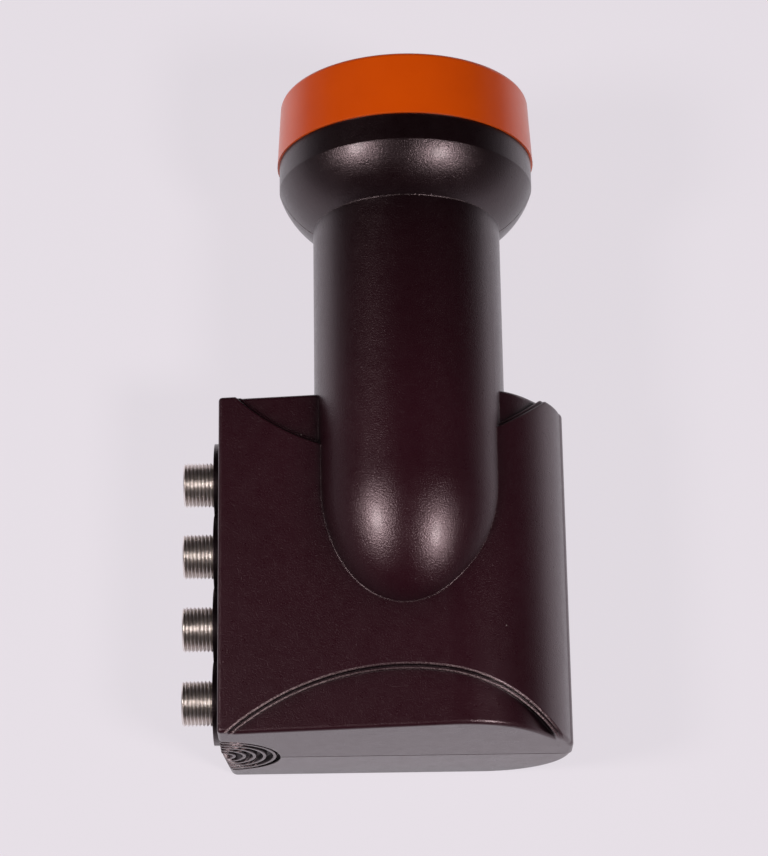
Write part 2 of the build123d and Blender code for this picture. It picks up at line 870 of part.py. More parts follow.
def port_seal(y):
    """Rubber washer between the barrel and the pocket in the shells."""
    front = rim_face_x + rim_lip
    back = front + seal_thickness
    return turned_x([(front, port_shank), (front, seal_diameter / 2),
                     (back, seal_diameter / 2), (back, port_shank)], y, seam_z)


def all_pieces():
    """Every piece by its node name."""
    low_place, high_place = resonator_places()
    pieces = {
        "front_shell": front_shell(),
        "rear_shell": rear_shell(),
        "feed_cap": feed_cap(),
        "cap_seal": cap_seal(),
        "horn_casting": horn_casting(),
        "casting_cover": casting_cover(),
        "cover_gasket": gasket_frame(tray_rim_z, tray_rim_z + gasket_depth),
        "cover_screws": cover_screws(),
        "main_board": main_board(),
        "board_screws": board_screws(),
        "probe_vertical": probe_vertical(),
        "probe_horizontal": probe_horizontal(),
        "probe_vertical_bush": probe_vertical_bush(),
        "probe_horizontal_bush": probe_horizontal_bush(),
        "isolation_pin": isolation_pin(),
        "resonator_low": resonator(low_place),
        "resonator_high": resonator(high_place),
        "tuning_screws": tuning_screws(),
        "switch_chip": switch_chip(),
        "mixer_chips": mixer_chips(),
        "voltage_regulators": voltage_regulators(),
        "amplifier_transistors": amplifier_transistors(),
        "chip_capacitors": chip_capacitors(),
    }
    for i, y in enumerate(port_ys(), start=1):
        pieces[f"port_{i}_body"] = port_body(y)
        pieces[f"port_{i}_insulator"] = port_insulator(y)
        pieces[f"port_{i}_contact"] = port_contact(y)
        pieces[f"port_{i}_seal"] = port_seal(y)
    return pieces


os.makedirs("parts", exist_ok=True)
for name, piece in all_pieces().items():
    export_step(piece, f"parts/{name}.step")
    print(name, round(piece.volume, 1))
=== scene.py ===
# %% [markdown]
# # Dressing a satellite LNB
# An LNB is the receiver that sits in front of a satellite dish. This one has a moulded dark sleeve in two
# halves, an orange cap over its feed horn and threaded outputs on one side.
# The solids come ready made and in metres, so nothing is fitted by eye: the lesson adds the camera, the light,
# the finishes and the one form that is too fine for the solids, the thread on the outputs.

# %% Load the solids
import bpy
import json
import math
from mathutils import Matrix, Vector


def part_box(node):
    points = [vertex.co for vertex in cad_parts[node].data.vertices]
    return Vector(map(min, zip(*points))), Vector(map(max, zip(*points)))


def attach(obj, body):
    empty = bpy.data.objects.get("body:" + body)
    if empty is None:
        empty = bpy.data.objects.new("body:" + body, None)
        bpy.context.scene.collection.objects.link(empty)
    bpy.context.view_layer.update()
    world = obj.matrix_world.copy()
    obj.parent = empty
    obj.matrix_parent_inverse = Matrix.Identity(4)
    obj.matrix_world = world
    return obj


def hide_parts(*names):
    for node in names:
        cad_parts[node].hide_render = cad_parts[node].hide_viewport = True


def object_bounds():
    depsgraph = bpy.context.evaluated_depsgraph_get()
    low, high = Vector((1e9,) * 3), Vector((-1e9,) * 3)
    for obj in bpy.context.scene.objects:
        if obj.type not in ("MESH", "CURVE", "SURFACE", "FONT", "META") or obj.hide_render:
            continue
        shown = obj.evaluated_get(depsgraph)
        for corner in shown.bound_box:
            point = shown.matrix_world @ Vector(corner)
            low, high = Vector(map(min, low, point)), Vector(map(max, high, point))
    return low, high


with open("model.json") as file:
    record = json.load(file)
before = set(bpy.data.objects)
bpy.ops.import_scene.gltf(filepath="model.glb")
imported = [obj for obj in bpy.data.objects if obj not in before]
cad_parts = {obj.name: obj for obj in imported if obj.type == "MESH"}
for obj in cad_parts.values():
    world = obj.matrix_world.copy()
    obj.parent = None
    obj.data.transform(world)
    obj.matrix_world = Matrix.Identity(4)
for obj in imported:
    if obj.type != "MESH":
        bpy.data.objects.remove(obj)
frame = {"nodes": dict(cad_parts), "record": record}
solid_box = [list(corner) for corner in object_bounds()]
scene = bpy.context.scene
print("nodes:", len(frame["nodes"]), "box in mm:", [[round(1000 * v, 2) for v in c] for c in solid_box])

# %% [markdown]
# ## The camera
# The part lies on its back and is seen from above its lower end. A long lens keeps the sides of the housing
# nearly parallel. The picture is taken to be 768 by 856 points, and the focal length of 3000 points becomes
# millimetres on a sensor that is fitted to the picture's height.

# %% Camera
picture_height = 856
focal_points = 3000
sensor = 36.0
tilt, roll, turn = 0.348921823, -0.014755, -0.0031903
eye = Vector((-0.00728, -0.240532, 0.592157))
lens = bpy.data.cameras.new("camera")
lens.sensor_fit = "VERTICAL"
lens.sensor_height = sensor
lens.lens = focal_points / picture_height * sensor
camera = bpy.data.objects.new("camera", lens)
aim = Matrix.Rotation(turn, 4, "Y") @ Matrix.Rotation(tilt, 4, "X") @ Matrix.Rotation(roll, 4, "Z")
camera.matrix_world = Matrix.Translation(eye) @ aim
scene.collection.objects.link(camera)
scene.camera = camera
scene.view_settings.view_transform = "Standard"
print("lens in mm:", round(lens.lens, 2), "looks down by degrees:", round(90 - math.degrees(tilt), 1))

# %% [markdown]
# ## Helpers for node trees
# Every finish below is a small network of nodes. One helper adds a node and sets its sockets by name or by number,
# and the others are short words for the nodes that come up most: a mix of colours, a change of range, a sum.
# They could be left out, but then each cell would be mostly wiring.


# %% Node helpers
def add(tree, kind, settings=None, **sockets):
    """A new node. Settings are its own properties, sockets are values or other nodes' outputs."""
    node = tree.nodes.new(kind)
    for name, value in (settings or {}).items():
        setattr(node, name, value)
    for name, value in sockets.items():
        socket = node.inputs[int(name[1:])] if name[1:].isdigit() else node.inputs[name.replace("_", " ")]
        if isinstance(value, bpy.types.NodeSocket):
            tree.links.new(value, socket)
        else:
            socket.default_value = value
    return node


def numbered(values):
    """Values under the numbers of their sockets."""
    return {f"_{place}": value for place, value in enumerate(values)}


def maths(tree, operation, *values):
    """Sum, product or comparison of numbers."""
    return add(tree, "ShaderNodeMath", {"operation": operation}, **numbered(values)).outputs[0]


def vectors(tree, operation, *values):
    """Outputs of a sum, product or length of vectors."""
    return add(tree, "ShaderNodeVectorMath", {"operation": operation}, **numbered(values)).outputs


def mixed(tree, share, first, second):
    """Colour between two others."""
    return add(tree, "ShaderNodeMix", {"data_type": "RGBA"}, _0=share, _6=first, _7=second).outputs[2]


def spread(tree, value, low, high, start=0.0, end=1.0):
    """Value moved from one range to another."""
    return add(tree, "ShaderNodeMapRange", None, Value=value, From_Min=start, From_Max=end,
               To_Min=low, To_Max=high).outputs["Result"]


def object_place(tree):
    """Place on the object, in metres."""
    return add(tree, "ShaderNodeTexCoord").outputs["Object"]


def rgb(red, green, blue):
    """Colour with full cover."""
    return (red, green, blue, 1.0)


print("node helpers ready")


# %% [markdown]
# ## Helpers for finishes
# A finish starts as a new material with its tree and its shader. In the end every finish here feeds the same three
# sockets, colour, roughness and normal, so one function does that for all of them.


# %% Finish helpers
def finish_named(name):
    """A new material with its tree and its shader."""
    material = bpy.data.materials.new(name)
    material.use_nodes = True
    tree = material.node_tree
    return material, tree, tree.nodes["Principled BSDF"]


def lay_on(tree, shader, tint, rough, height, strength, depth, normal=None):
    """Colour, roughness and fine bumps led to a shader."""
    tree.links.new(tint, shader.inputs["Base Color"])
    tree.links.new(rough, shader.inputs["Roughness"])
    bumps = add(tree, "ShaderNodeBump", None, Strength=strength, Distance=depth, Height=height)
    if normal is not None:
        tree.links.new(normal, bumps.inputs["Normal"])
    tree.links.new(bumps.outputs[0], shader.inputs["Normal"])


print("finish helpers ready")

# %% [markdown]
# ## The table
# The part lies on a pale sheet that reaches past the picture. It is part of the stage and not of the object, and
# the lowest point of the solids says how high it lies.

# %% Table
sheet_z = solid_box[0][2]
sheet_reach = 8.0
corners = [(x * sheet_reach, y * sheet_reach, sheet_z) for x, y in ((-1, -1), (1, -1), (1, 1), (-1, 1))]
sheet_mesh = bpy.data.meshes.new("sheet")
sheet_mesh.from_pydata(corners, [], [(0, 1, 2, 3)])
sheet = bpy.data.objects.new("sheet", sheet_mesh)
scene.collection.objects.link(sheet)
print("sheet lies at mm:", round(1000 * sheet_z, 2))

# %% [markdown]
# ## The sheet's own light
# A white sheet under real lamps would show hard shadows. So for the eye and for reflections most of its light is
# its own and the rest is lit, which leaves a faint shadow. What the part mirrors isn't all as bright: the sheet
# close by is nearly white and the sheet far off is dark, so the sides of the part turn grey and its top stays dark.

# %% Paper
own_light = 0.86
near_end, far_start = 0.12, 0.3
sheet_tints = rgb(0.76, 0.715, 0.768), rgb(0.776, 0.731, 0.784)
seen_tint = rgb(0.80, 0.753, 0.808)
near_tint, far_tint = rgb(0.95, 0.9, 0.97), rgb(0.08, 0.076, 0.081)

paper, tree, shader = finish_named("pale_sheet")
place = object_place(tree)
cloudy = add(tree, "ShaderNodeTexNoise", None, Vector=place, Scale=6.0, Detail=2.0).outputs["Fac"]
tree.links.new(mixed(tree, cloudy, *sheet_tints), shader.inputs["Base Color"])
shader.inputs["Roughness"].default_value = 0.9
ray = add(tree, "ShaderNodeLightPath").outputs
seen = maths(tree, "MAXIMUM", ray["Is Camera Ray"], ray["Is Glossy Ray"])
seen = maths(tree, "MAXIMUM", seen, ray["Is Transmission Ray"])
share = maths(tree, "MULTIPLY", seen, own_light)
away = vectors(tree, "LENGTH", place)["Value"]
mirrored = mixed(tree, spread(tree, away, 0.0, 1.0, near_end, far_start), near_tint, far_tint)
shown = mixed(tree, ray["Is Camera Ray"], mirrored, seen_tint)
glow = add(tree, "ShaderNodeEmission", None, Color=shown, Strength=1.0)
both = add(tree, "ShaderNodeMixShader", None, _0=share, _1=shader.outputs[0], _2=glow.outputs[0])
tree.links.new(both.outputs[0], tree.nodes["Material Output"].inputs["Surface"])
sheet_mesh.materials.append(paper)
print("finish:", paper.name)

# %% [markdown]
# ## The room
# Bright walls all round would make the dark plastic grey everywhere. Here the room is dim above and has a paler
# band at the height of the table, which the upright sides mirror. The eye itself sees a backdrop as pale as the
# sheet, so that the far edge of the table doesn't show.

# %% Room
backdrop = rgb(0.768, 0.723, 0.776)
horizon, ceiling = rgb(0.3, 0.282, 0.303), rgb(0.012, 0.010, 0.011)
band_top = 0.16

room = bpy.data.worlds.new("room")
room.use_nodes = True
scene.world = room
tree = room.node_tree
tree.nodes.clear()
way = add(tree, "ShaderNodeTexCoord").outputs["Generated"]
height = add(tree, "ShaderNodeSeparateXYZ", None, Vector=way).outputs["Z"]
walls = mixed(tree, spread(tree, height, 0.0, 1.0, 0.0, band_top), horizon, ceiling)
dim = add(tree, "ShaderNodeBackground", None, Color=walls, Strength=1.0)
pale = add(tree, "ShaderNodeBackground", None, Color=backdrop, Strength=1.0)
eye_ray = add(tree, "ShaderNodeLightPath").outputs["Is Camera Ray"]
either = add(tree, "ShaderNodeMixShader", None, _0=eye_ray, _1=dim.outputs[0], _2=pale.outputs[0])
tree.links.new(either.outputs[0], add(tree, "ShaderNodeOutputWorld").inputs["Surface"])
print("world:", scene.world.name)

# %% [markdown]
# ## The lamps
# Two soft spots of light stand side by side on the dome, and two more on the flare. Round lamps on either side make
# both pairs at once, and a spot's size on the plastic follows from the lamp's width and the finish's roughness.

# %% Lamps
lamp_distance, lamp_width, lamp_watts = 0.9, 0.2, 5.2
lamp_tint = (1.0, 0.94, 0.93)
lamp_aim = Vector((0.0, -0.02, 0.0))


def soft_lamp(name, direction):
    """Round lamp that looks at the middle of the part."""
    data = bpy.data.lights.new(name, "AREA")
    data.shape = "DISK"
    data.size = lamp_width
    data.energy = lamp_watts
    data.color = lamp_tint
    lamp = bpy.data.objects.new(name, data)
    heading = Vector(direction).normalized()
    lamp.location = lamp_aim + heading * lamp_distance
    lamp.rotation_euler = heading.to_track_quat("Z", "Y").to_euler()
    scene.collection.objects.link(lamp)


soft_lamp("lamp_left", (-0.68, -0.196, 0.715))
soft_lamp("lamp_right", (0.50, -0.384, 0.778))

# %% [markdown]
# ## Effects that several finishes share
# Grain, drift of tone, dust and wear could be drawn anew in every material. As node groups they are built once and
# get their own values in each finish. They read places in metres on the object, so that a grain of a quarter of a
# millimetre is that size on every piece.


# %% Group helpers
def new_group(name, inputs, outputs, normal=None):
    """Empty shader group with number sockets and, where it is named, one for a normal."""
    group = bpy.data.node_groups.new(name, "ShaderNodeTree")
    for label, value in inputs:
        socket = group.interface.new_socket(name=label, in_out="INPUT", socket_type="NodeSocketFloat")
        socket.default_value = value
    for label in outputs:
        group.interface.new_socket(name=label, in_out="OUTPUT", socket_type="NodeSocketFloat")
    if normal:
        group.interface.new_socket(name=normal, in_out="OUTPUT", socket_type="NodeSocketVector")
    return group, group.nodes.new("NodeGroupInput").outputs, group.nodes.new("NodeGroupOutput").inputs


def use_group(tree, group, **values):
    """Group placed in a material with its own values."""
    node = tree.nodes.new("ShaderNodeGroup")
    node.node_tree = group
    for name, value in values.items():
        node.inputs[name.replace("_", " ")].default_value = value
    return node.outputs


print("group helpers ready")

# %% [markdown]
# ## Moulded grain
# A spark-eroded mould leaves a fine even grain on what it makes. One noise gives the height of the bumps. The tone,
# which the finishes use for roughness, adds a slower noise to it, so that the sheen isn't the same everywhere.
# A noise node stays mostly between 0.3 and 0.7, and that part is what gets spread.

# %% Moulded grain
noise_range = 0.3, 0.7
slow_scale = 0.12
fine_share, slow_share = 0.6, 0.4
grain_group, given, result = new_group("moulded_grain", [("Grains per metre", 4000.0)], ["Height", "Tone"])
place = object_place(grain_group)
fine = add(grain_group, "ShaderNodeTexNoise", None, Vector=place, Scale=given[0], Detail=2.0,
           Roughness=0.6).outputs["Fac"]
wide = maths(grain_group, "MULTIPLY", given[0], slow_scale)
slow = add(grain_group, "ShaderNodeTexNoise", None, Vector=place, Scale=wide, Detail=3.0).outputs["Fac"]
tone = maths(grain_group, "ADD", spread(grain_group, fine, 0.0, fine_share, *noise_range),
             spread(grain_group, slow, 0.0, slow_share, *noise_range))
grain_group.links.new(fine, result["Height"])
grain_group.links.new(tone, result["Tone"])
print("group:", grain_group.name)

# %% [markdown]
# ## Slow drift of tone
# No moulding, plating or casting has one even colour. Patches of a few centimetres or millimetres move each finish
# between two close tints.

# %% Slow drift of tone
drift_group, given, result = new_group("tone_drift", [("Patches per metre", 40.0)], ["Drift"])
place = object_place(drift_group)
patches = add(drift_group, "ShaderNodeTexNoise", None, Vector=place, Scale=given[0], Detail=4.0,
              Roughness=0.55).outputs["Fac"]
drift_group.links.new(spread(drift_group, patches, 0.0, 1.0, *noise_range), result["Drift"])
print("group:", drift_group.name)

# %% [markdown]
# ## Dust and scuffs
# Specks of dust are the middles of a few random cells, chosen by the colour that the cell texture gives each cell.
# Scuffs are a noise that is stretched in one direction and cut off high, which leaves short streaks.

# %% Dust and scuffs
scuff_turn = (0.2, 0.1, 0.7)
scuff_scale = (220.0, 2600.0, 2600.0)
scuff_range = 0.68, 0.76
dust_group, given, result = new_group(
    "dust_and_scuffs", [("Specks per metre", 300.0), ("Speck size", 0.035), ("Share", 0.35)], ["Dust", "Scuff"])
place = object_place(dust_group)
cells = add(dust_group, "ShaderNodeTexVoronoi", None, Vector=place, Scale=given[0]).outputs
near = maths(dust_group, "LESS_THAN", cells["Distance"], given[1])
chance = add(dust_group, "ShaderNodeSeparateColor", None, Color=cells["Color"]).outputs[0]
chosen = maths(dust_group, "LESS_THAN", chance, given[2])
dust_group.links.new(maths(dust_group, "MULTIPLY", near, chosen), result["Dust"])
stretched = add(dust_group, "ShaderNodeMapping", None, Vector=place, Rotation=scuff_turn,
                Scale=scuff_scale).outputs[0]
streaks = add(dust_group, "ShaderNodeTexNoise", None, Vector=stretched, Scale=1.0, Detail=1.0).outputs["Fac"]
dust_group.links.new(spread(dust_group, streaks, 0.0, 1.0, *scuff_range), result["Scuff"])
print("group:", dust_group.name)

# %% [markdown]
# ## Worn edges
# The Bevel node gives the normal that a rounded edge would have. Where it departs from the face's own normal, an
# edge is near. That holds for hollow corners too, which stay unworn: they see less of the sky around them, so
# ambient occlusion tells the two apart. The rounded normal comes out as well, for edges that catch the light.

# %% Worn edges
turned_range = 0.8, 0.99
open_range = 0.92, 1.0
edge_group, given, result = new_group("worn_edges", [("Reach", 0.0004)], ["Edge"], "Rounded")
soft = add(edge_group, "ShaderNodeBevel", {"samples": 4}, Radius=given[0]).outputs[0]
flat = add(edge_group, "ShaderNodeNewGeometry").outputs["Normal"]
same = vectors(edge_group, "DOT_PRODUCT", soft, flat)["Value"]
turned = spread(edge_group, same, 1.0, 0.0, *turned_range)
sky = add(edge_group, "ShaderNodeAmbientOcclusion", {"samples": 4}, Distance=given[0]).outputs["AO"]
standing = maths(edge_group, "MULTIPLY", turned, spread(edge_group, sky, 0.0, 1.0, *open_range))
edge_group.links.new(standing, result["Edge"])
edge_group.links.new(soft, result["Rounded"])
print("group:", edge_group.name)

# %% [markdown]
# ## The dark moulded plastic
# The sleeve is a very dark red-brown plastic with a soft sheen. A single black would look like a hole in the
# picture: what shows its form is the sheen, so the colour stays low and the roughness and the fine bumps do the
# work. The shared effects come first, with a wide occlusion that finds the deep corners beside the tube for
# painted shade.

# %% Shell effects
corner_reach = 0.010
shell_plastic, tree, shader = finish_named("shell_plastic")
grain = use_group(tree, grain_group, Grains_per_metre=3400.0)
drift = use_group(tree, drift_group, Patches_per_metre=45.0)
marks = use_group(tree, dust_group, Specks_per_metre=220.0, Speck_size=0.03, Share=0.16)
edges = use_group(tree, edge_group, Reach=0.00036)
# Wide occlusion: it sets where shade is painted into the deep corners.
corner = add(tree, "ShaderNodeAmbientOcclusion", {"samples": 8}, Distance=corner_reach).outputs["AO"]
place = object_place(tree)
print("nodes so far:", len(tree.nodes))

# %% [markdown]
# ## Painted highlights on the lower step
# The raised panel ends below in a double step along an arc, and both of its edges get a pale painted highlight,
# brighter towards their ends. The edges are truly rounded there, so the Bevel node finds nothing. The lines follow
# the arc
# instead: the distance from its centre, less the lean of the drafted wall, says how far a place is from either
# edge.

# %% Painted step highlights
step_centre = (-0.00365, -0.1335, 0.00840)
step_radius = 0.0545
step_lean = math.tan(math.radians(5.0))
crest_offset, crest_half = 0.0002, 0.00016
foot_offset, foot_half = -0.00055, 0.00013
least_facing = 0.3
nose_fade = 0.029, 0.033
end_fade = 0.004, 0.028

offset = vectors(tree, "SUBTRACT", place, step_centre)["Vector"]
across, _, above = add(tree, "ShaderNodeSeparateXYZ", None, Vector=offset).outputs
level = vectors(tree, "MULTIPLY", offset, (1.0, 1.0, 0.0))["Vector"]
radius = maths(tree, "MULTIPLY_ADD", above, -step_lean, vectors(tree, "LENGTH", level)["Value"])
crest = maths(tree, "COMPARE", radius, step_radius + crest_offset, crest_half)
foot = maths(tree, "COMPARE", radius, step_radius + foot_offset, foot_half)
normal = add(tree, "ShaderNodeNewGeometry").outputs["Normal"]
facing = add(tree, "ShaderNodeSeparateXYZ", None, Vector=normal).outputs["Z"]
front = maths(tree, "GREATER_THAN", facing, least_facing)
front = maths(tree, "MULTIPLY", front, spread(tree, across, 1.0, 0.0, *nose_fade))
outward = spread(tree, maths(tree, "ABSOLUTE", across), 0.25, 1.0, *end_fade)
# Painted highlight lines along both edges of the step, stronger towards their ends.
painted_highlight_lines = maths(tree, "MULTIPLY", maths(tree, "MAXIMUM", crest, foot), front)
painted_highlight_lines = maths(tree, "MULTIPLY", painted_highlight_lines, outward)
print("step radius in mm:", round(1000 * step_radius, 2))

# %% [markdown]
# ## Tint of the sleeve
# The housing is browner and the tube nearly black, with a slow change between them: this darkening towards the cap
# is painted shade. Deep corners are darkened with painted shade. Edges that a hand can reach are rubbed pale where
# the grain stands up, and the same pale tint paints highlights on the step's edges. Dust lies on top as small pale
# specks.

# %% Shell tint
# The tube tints are the plastic with painted shade, darker towards the cap.
box_tints = rgb(0.0165, 0.0018, 0.0048), rgb(0.0195, 0.0026, 0.0063)
tube_tints = rgb(0.002, 0.0001, 0.0004), rgb(0.003, 0.0003, 0.0008)
# The deep tint is painted shade. The rubbed tint is pale wear on edges and painted highlight on the step.
painted_shade_tint, wear_and_highlight_tint, dust_tint = rgb(0.0012, 0.0, 0.0004), rgb(0.34, 0.26, 0.265), rgb(0.3, 0.26, 0.25)
tube_blend = -0.03, 0.03
shade_range = 0.66, 0.97
reach_range = 0.6, 0.8
grain_break = 0.4, 0.62

along = add(tree, "ShaderNodeSeparateXYZ", None, Vector=place).outputs["Y"]
box_tint, tube_tint = (mixed(tree, drift["Drift"], *tints) for tints in (box_tints, tube_tints))
# Painted shade: the tint darkens from the housing to the nearly black tube towards the cap.
dark = mixed(tree, spread(tree, along, 0.0, 1.0, *tube_blend), box_tint, tube_tint)
# Painted shade: deep corners darken towards the deep tint.
shade = spread(tree, corner, 1.0, 0.0, *shade_range)
dark = mixed(tree, shade, dark, painted_shade_tint)
reached = maths(tree, "MULTIPLY", edges["Edge"], spread(tree, corner, 0.0, 1.0, *reach_range))
# Worn edges and the painted step highlights take the same pale tint.
wear_and_highlight = maths(tree, "MAXIMUM", painted_highlight_lines, reached)
broken = maths(tree, "MULTIPLY", wear_and_highlight, spread(tree, grain["Height"], 0.1, 1.0, *grain_break))
worn = mixed(tree, broken, dark, wear_and_highlight_tint)
dusty = mixed(tree, spread(tree, marks["Dust"], 0.0, 0.6), worn, dust_tint)
print("nodes so far:", len(tree.nodes))

# %% [markdown]
# ## Sheen of the sleeve
# Roughness follows the grain and rises in scuffs. The bumps sit on the rounded normal, so sharp edges show a thin
# light. A weak, smoother coat stands for the skin that moulded plastic has, and the reddish reflection is the tint
# of this plastic.

# %% Shell sheen
scuff_rise = 0.08
rough = maths(tree, "MULTIPLY_ADD", marks["Scuff"], scuff_rise, spread(tree, grain["Tone"], 0.26, 0.36))
lay_on(tree, shader, dusty, rough, grain["Height"], 0.7, 0.00009, edges["Rounded"])
shader.inputs["IOR"].default_value = 1.6
shader.inputs["Specular Tint"].default_value = rgb(0.95, 0.73, 0.78)
shader.inputs["Coat Weight"].default_value = 0.1
shader.inputs["Coat Roughness"].default_value = 0.2
print("finish:", shell_plastic.name)

# %% [markdown]
# ## The orange cap
# The cap is thin orange plastic that lets the radio waves through. It is smoother than the sleeve and its colour
# is even, so only a slow drift, a fine grain and slightly paler edges keep it from looking painted. The faces of
# its crowned end meet in one point, where smooth shading would show a dent, so the middle is shaded face by face.

# %% Cap plastic
cap_tints = rgb(0.57, 0.062, 0.0), rgb(0.62, 0.072, 0.0)
cap_edge_tint, cap_dust_tint = rgb(0.62, 0.16, 0.04), rgb(0.6, 0.4, 0.3)
cap_middle = 0.0053

cap_plastic, tree, shader = finish_named("cap_plastic")
grain = use_group(tree, grain_group, Grains_per_metre=5200.0)
drift = use_group(tree, drift_group, Patches_per_metre=60.0)
marks = use_group(tree, dust_group, Specks_per_metre=260.0, Speck_size=0.02, Share=0.1)
edges = use_group(tree, edge_group, Reach=0.0006)
orange = mixed(tree, drift["Drift"], *cap_tints)
worn = mixed(tree, spread(tree, edges["Edge"], 0.0, 0.3), orange, cap_edge_tint)
dusty = mixed(tree, spread(tree, marks["Dust"], 0.0, 0.4), worn, cap_dust_tint)
rough = maths(tree, "MULTIPLY_ADD", marks["Scuff"], scuff_rise, spread(tree, grain["Tone"], 0.27, 0.35))
sideways = vectors(tree, "MULTIPLY", object_place(tree), (1.0, 0.0, 1.0))["Vector"]
middle = maths(tree, "LESS_THAN", vectors(tree, "LENGTH", sideways)["Value"], cap_middle)
surface = add(tree, "ShaderNodeNewGeometry").outputs
even = add(tree, "ShaderNodeMix", {"data_type": "VECTOR"}, _0=middle, _4=surface["Normal"],
           _5=surface["True Normal"]).outputs[1]
lay_on(tree, shader, dusty, rough, grain["Height"], 0.2, 0.00002, even)
shader.inputs["IOR"].default_value = 1.5
print("finish:", cap_plastic.name)

# %% [markdown]
# ## Plated and cast metal
# The outputs are plated with nickel, which is a little warm, and dirt stays in the roots of the thread. The
# casting inside is bare and dull from the mould. Both are the same shader with different grain, so one function
# makes them all.


# %% Metals
def metal(name, tints, rough_range, grains, depth, dirt=None):
    """Metal between two tints, with a fine grain and, where a mesh says so, dirt in its hollows."""
    material, tree, shader = finish_named(name)
    grain = use_group(tree, grain_group, Grains_per_metre=grains)
    drift = use_group(tree, drift_group, Patches_per_metre=180.0)
    marks = use_group(tree, dust_group, Specks_per_metre=500.0, Speck_size=0.03, Share=0.1)
    tint = mixed(tree, drift["Drift"], *tints)
    if dirt:
        hollow = add(tree, "ShaderNodeAttribute", {"attribute_name": "hollow"}).outputs["Fac"]
        tint = mixed(tree, spread(tree, hollow, 0.0, 0.6, 0.4, 1.0), tint, dirt)
    rough = maths(tree, "MULTIPLY_ADD", marks["Scuff"], 0.1, spread(tree, grain["Tone"], *rough_range))
    lay_on(tree, shader, tint, rough, grain["Height"], 0.5, depth)
    shader.inputs["Metallic"].default_value = 1.0
    return material


nickel = metal("nickel_plate", (rgb(0.76, 0.70, 0.67), rgb(0.84, 0.78, 0.75)), (0.24, 0.4), 5000.0, 0.00004,
               dirt=rgb(0.3, 0.24, 0.2))
cast_metal = metal("cast_metal", (rgb(0.55, 0.55, 0.56), rgb(0.66, 0.66, 0.67)), (0.42, 0.6), 2600.0, 0.00004)
zinc_plate = metal("zinc_plate", (rgb(0.52, 0.53, 0.55), rgb(0.62, 0.62, 0.6)), (0.28, 0.42), 5000.0, 0.00001)
gilt = metal("gilt_brass", (rgb(0.66, 0.49, 0.23), rgb(0.76, 0.6, 0.32)), (0.22, 0.36), 6000.0, 0.00001)
print("metals:", [m.name for m in (nickel, cast_metal, zinc_plate, gilt)])

# %% [markdown]
# ## Rubber, insulators, chips and ceramic
# These pieces are inside or at the bottom of a socket. They still get their own finish: matt rubber with a bloom,
# waxy off-white insulators, dull chips and fired ceramic with a coarse grain. They differ only in values, so one
# function serves for all.

# %% Dull finishes
dull_dust = rgb(0.5, 0.47, 0.44)


def dull(name, tints, rough_range, grains, depth):
    """Matt finish between two tints, with grain in its roughness and its surface."""
    material, tree, shader = finish_named(name)
    grain = use_group(tree, grain_group, Grains_per_metre=grains)
    drift = use_group(tree, drift_group, Patches_per_metre=60.0)
    marks = use_group(tree, dust_group, Specks_per_metre=400.0, Speck_size=0.03, Share=0.15)
    tint = mixed(tree, drift["Drift"], *tints)
    tint = mixed(tree, spread(tree, marks["Dust"], 0.0, 0.4), tint, dull_dust)
    lay_on(tree, shader, tint, spread(tree, grain["Tone"], *rough_range), grain["Height"], 0.4, depth)
    return material


rubber = dull("seal_rubber", (rgb(0.012, 0.012, 0.013), rgb(0.03, 0.029, 0.03)), (0.6, 0.8), 3500.0, 0.00003)
insulator = dull("insulator_plastic", (rgb(0.70, 0.67, 0.60), rgb(0.78, 0.76, 0.70)), (0.4, 0.55), 4000.0, 0.00002)
chip_plastic = dull("chip_plastic", (rgb(0.012, 0.012, 0.014), rgb(0.026, 0.026, 0.028)), (0.5, 0.7), 5000.0,
                    0.00003)
ceramic = dull("fired_ceramic", (rgb(0.60, 0.52, 0.38), rgb(0.74, 0.66, 0.52)), (0.55, 0.75), 2500.0, 0.00004)
print("dull finishes:", [m.name for m in (rubber, insulator, chip_plastic, ceramic)])

# %% [markdown]
# ## The circuit board
# Green lacquer covers the board, and the copper under it shows as faint raised runs. A brick pattern with thin
# joints is enough for a board that lies inside the casting: its joints are the runs.

# %% Board mask
mask_tint, run_tint = rgb(0.012, 0.10, 0.035), rgb(0.05, 0.2, 0.075)
black, white = rgb(0.0, 0.0, 0.0), rgb(1.0, 1.0, 1.0)
board_mask, tree, shader = finish_named("board_mask")
grain = use_group(tree, grain_group, Grains_per_metre=5000.0)
runs = add(tree, "ShaderNodeTexBrick", {"offset": 0.37, "squash": 0.6}, Vector=object_place(tree), Scale=240.0,
           Color1=black, Color2=black, Mortar=white, Mortar_Size=0.05).outputs["Fac"]
green = mixed(tree, runs, mask_tint, run_tint)
lay_on(tree, shader, green, spread(tree, grain["Tone"], 0.25, 0.4), runs, 0.4, 0.00003)
print("finish:", board_mask.name)

# %% [markdown]
# ## Finishes on the solids
# Each solid names its material slot in the record. A table from slot to finish dresses them all, and the solids
# keep their place and their mesh.

# %% Dress the solids
finishes = {"shell": shell_plastic, "cap": cap_plastic, "casting": cast_metal, "barrel": nickel,
            "insulator": insulator, "contact": gilt, "rubber": rubber, "steel": zinc_plate,
            "board": board_mask, "chip": chip_plastic, "ceramic": ceramic}
slot_of = {entry["node"]: entry["material_slot"] for entry in frame["record"]["subparts"]}
for name, solid in frame["nodes"].items():
    for slot in solid.material_slots:
        slot.material = finishes[slot_of[name]]
print("dressed:", len(frame["nodes"]))

# %% [markdown]
# ## The thread on the outputs
# A plug screws onto each output over a fine thread of 32 turns to the inch. The thread could be a bump texture,
# but its teeth show at the outline, so it is a mesh: rings of points along the barrel whose radius follows the
# tooth's profile, with the ring's start moved along the helix.

# %% Thread profile
turns_per_inch = 32
pitch = 0.0254 / turns_per_inch
tooth = 0.00038
around = 96
steps_per_turn = 12


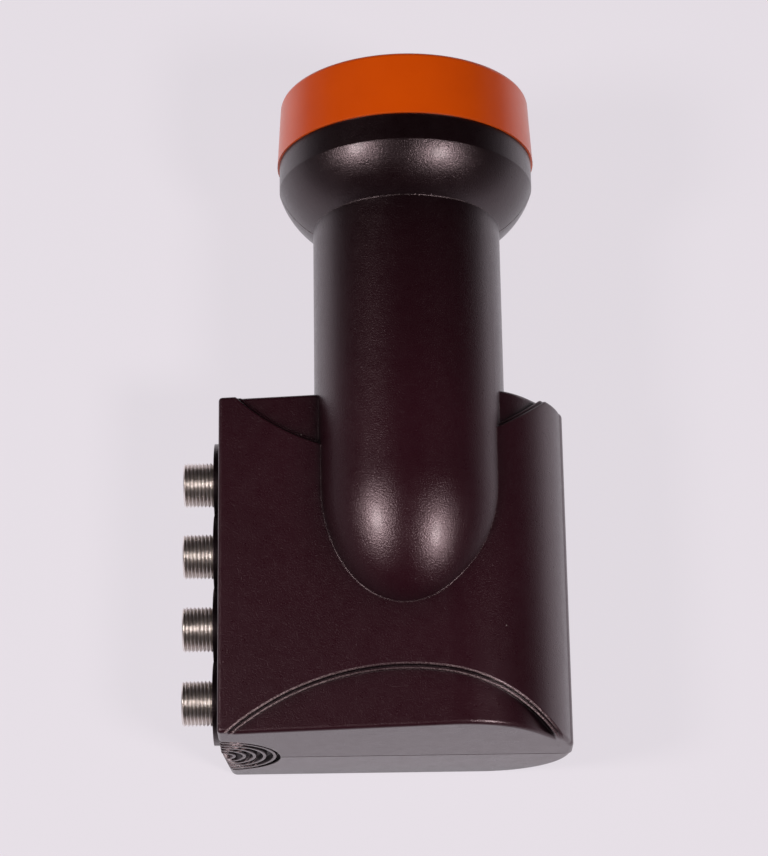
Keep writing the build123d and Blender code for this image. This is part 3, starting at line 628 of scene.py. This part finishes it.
def tooth_depth(along, angle):
    """How deep the thread lies under its crest, from 0 at the crest to 1 in the root."""
    turn_share = along / pitch - angle / (2 * math.pi)
    return 0.5 - 0.5 * math.cos(2 * math.pi * turn_share)


print("thread pitch in mm:", round(1000 * pitch, 4))

# %% [markdown]
# ## The barrels
# The mouth is chamfered, as a turned barrel is, and the plain shank, flange and tail behind the thread follow the
# solid that the piece stands for. Its rows of radius run from the bore at the mouth to the bore at the far end, and
# a last row of faces closes the bore. The depth of the thread is kept on the points, where the nickel reads it.

# %% Barrel rows
bore, tail, relief = 0.0033, 0.0044, 0.00026
chamfer, mouth_lip = 0.00035, 0.0003
flange_start, flange_stop = 0.0115, 0.0128


def barrel_rows(low, high, outside, length):
    """Place along X, radius and whether it is threaded, for each ring of a barrel from its mouth inwards."""
    mouth = low.x
    shank, flange = outside - relief, (high.y - low.y) / 2
    front, back = mouth + flange_start, mouth + flange_stop
    count = round(length / pitch * steps_per_turn)
    rows = [(mouth, bore, False), (mouth, outside - chamfer - mouth_lip, False)]
    rows += [(mouth + length * i / count, outside, True) for i in range(count + 1)]
    rows += [(mouth + length, shank, False), (front, shank, False), (front, flange, False),
             (back, flange, False), (back, tail, False), (high.x, tail, False), (high.x, bore, False)]
    return rows


print("rings to a turn:", steps_per_turn, "points to a ring:", around)

# %% [markdown]
# ## From rows to meshes
# Each row becomes a ring of points about the output's axis, and neighbouring rings are joined by quads. Smooth
# shading with sharp edges from 40 degrees keeps the flange crisp and the teeth round. The record's mounts say where
# each output is, how wide and how long.

# %% Barrel mesh
sharp_from = math.radians(40)


def barrel(name, centre, outside, length, node):
    """Barrel with a threaded end, made of rings about a line along X."""
    low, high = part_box(node)
    rows = barrel_rows(low, high, outside, length)
    points, hollows = [], []
    for x, radius, threaded in rows:
        inwards = x - low.x
        for k in range(around):
            angle = 2 * math.pi * k / around
            deep = tooth_depth(inwards, angle) if threaded else 0.0
            limit = outside - max(chamfer - inwards, 0.0) if threaded else radius
            r = min(radius - tooth * deep, limit)
            points.append((x, centre.y + r * math.cos(angle), centre.z + r * math.sin(angle)))
            hollows.append(deep)
    faces = []
    for j in range(len(rows)):
        a, b = j * around, (j + 1) % len(rows) * around
        for k in range(around):
            n = (k + 1) % around
            faces.append((a + k, a + n, b + n, b + k))
    mesh = bpy.data.meshes.new(name)
    mesh.from_pydata(points, [], faces)
    mesh.attributes.new("hollow", "FLOAT", "POINT").data.foreach_set("value", hollows)
    mesh.polygons.foreach_set("use_smooth", [True] * len(mesh.polygons))
    mesh.set_sharp_from_angle(angle=sharp_from)
    mesh.materials.append(nickel)
    mesh.update()
    piece = bpy.data.objects.new(name, mesh)
    scene.collection.objects.link(piece)
    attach(piece, "root")
    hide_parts(node)
    return piece


for mount in frame["record"]["mounts"]:
    if mount["name"].startswith("port_"):
        made = barrel(mount["name"] + "_barrel", Vector(mount["pos_m"]), mount["dims"]["r_mm"] / 1000,
                      mount["dims"]["length_mm"] / 1000, mount["name"] + "_body")
        print(made.name, "faces:", len(made.data.polygons))
